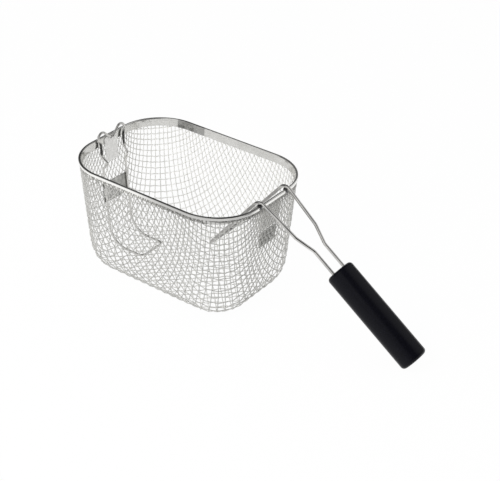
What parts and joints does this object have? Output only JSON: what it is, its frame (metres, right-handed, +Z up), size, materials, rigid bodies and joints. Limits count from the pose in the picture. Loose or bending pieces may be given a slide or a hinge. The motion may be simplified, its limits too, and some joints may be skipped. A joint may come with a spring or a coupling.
{
  "type": "deep fryer basket",
  "caption": "Woven wire basket with a folded steel rim, a wire hook frame at one end and a fold-down wire handle with a black plastic grip at the other.",
  "frame": {"origin": "on the table under the middle of the basket's base", "axes": "+X along the basket towards the handle, +Z up, +Y towards the side with the lap of the rim strip"},
  "size_m": [0.398, 0.1528, 0.1358],
  "materials": {
    "cloth": "bright tinned or stainless drawn wire, slightly dull",
    "band": "smooth rolled sheet, satin",
    "rod": "bright plated wire",
    "plate": "dark satin sheet",
    "grip": "glossy black moulding"
  },
  "bodies": {
    "basket": {"wire_cloth": "cloth", "rim_band": "band", "hook_wire": "rod", "hook_strap": "band", "hook_plate": "plate", "end_strap": "band", "end_plate": "plate", "rim_seat_left": "plate", "rim_seat_right": "plate"},
    "handle": {"handle_wire": "rod", "grip": "grip"}
  },
  "joints": [
    {"name": "handle_fold", "type": "hinge", "parent": "basket", "child": "handle", "pos_m": [0.10859, 0, 0.12274], "axis": [0, -1, 0], "range_deg": [-45, 36]}
  ]
}
